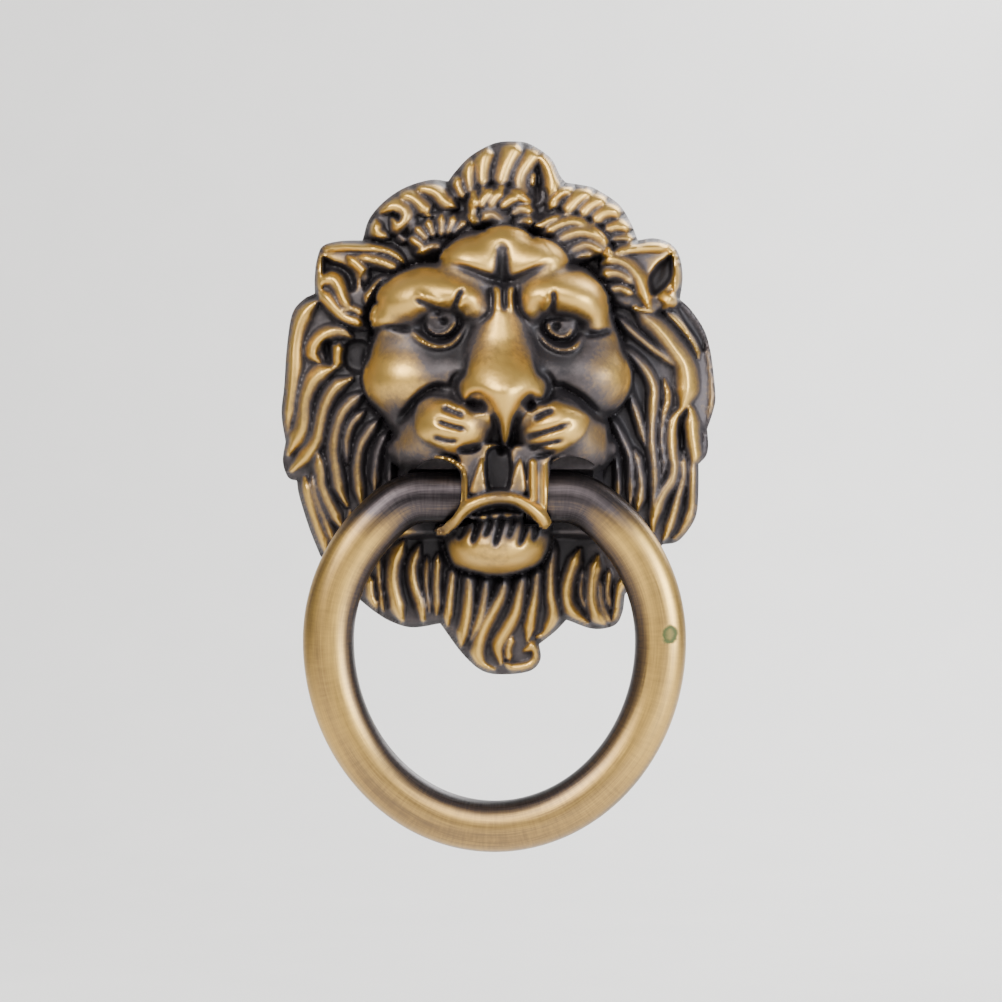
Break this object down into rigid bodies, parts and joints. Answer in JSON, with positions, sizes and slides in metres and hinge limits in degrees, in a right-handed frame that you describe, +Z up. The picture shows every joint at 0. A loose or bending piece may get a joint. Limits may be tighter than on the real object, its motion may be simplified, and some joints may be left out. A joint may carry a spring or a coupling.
{
  "type": "lion head door knocker",
  "caption": "Cast lion-head mask with a hollow back and a loose oval ring hinged in its mouth, for knocking on or pulling a door.",
  "frame": {"origin": "midway between the two fixing holes, on the plane of the door", "axes": "+Y back into the door, so the face looks towards -Y; +Z up along the door; +X to the viewer's right"},
  "size_m": [0.0648, 0.024, 0.1049],
  "materials": {
    "mask_metal": "antique patina, rubbed bright on the high points and near black in the hollows",
    "ring_metal": "brushed antique brass, darker along the sides",
    "pin_steel": "drawn steel",
    "keeper_steel": "dull pressed steel",
    "screw_steel": "zinc plated"
  },
  "bodies": {
    "mask": {"lion_head": "mask_metal", "pivot_pin": "pin_steel", "pin_keeper": "keeper_steel", "keeper_screws": "screw_steel"},
    "ring": {"knocker_ring": "ring_metal"}
  },
  "joints": [
    {"name": "ring_swing", "type": "hinge", "parent": "mask", "child": "ring", "pos_m": [0, -0.0125, -0.0136], "axis": [-1, 0, 0], "range_deg": [-9, 95]}
  ]
}
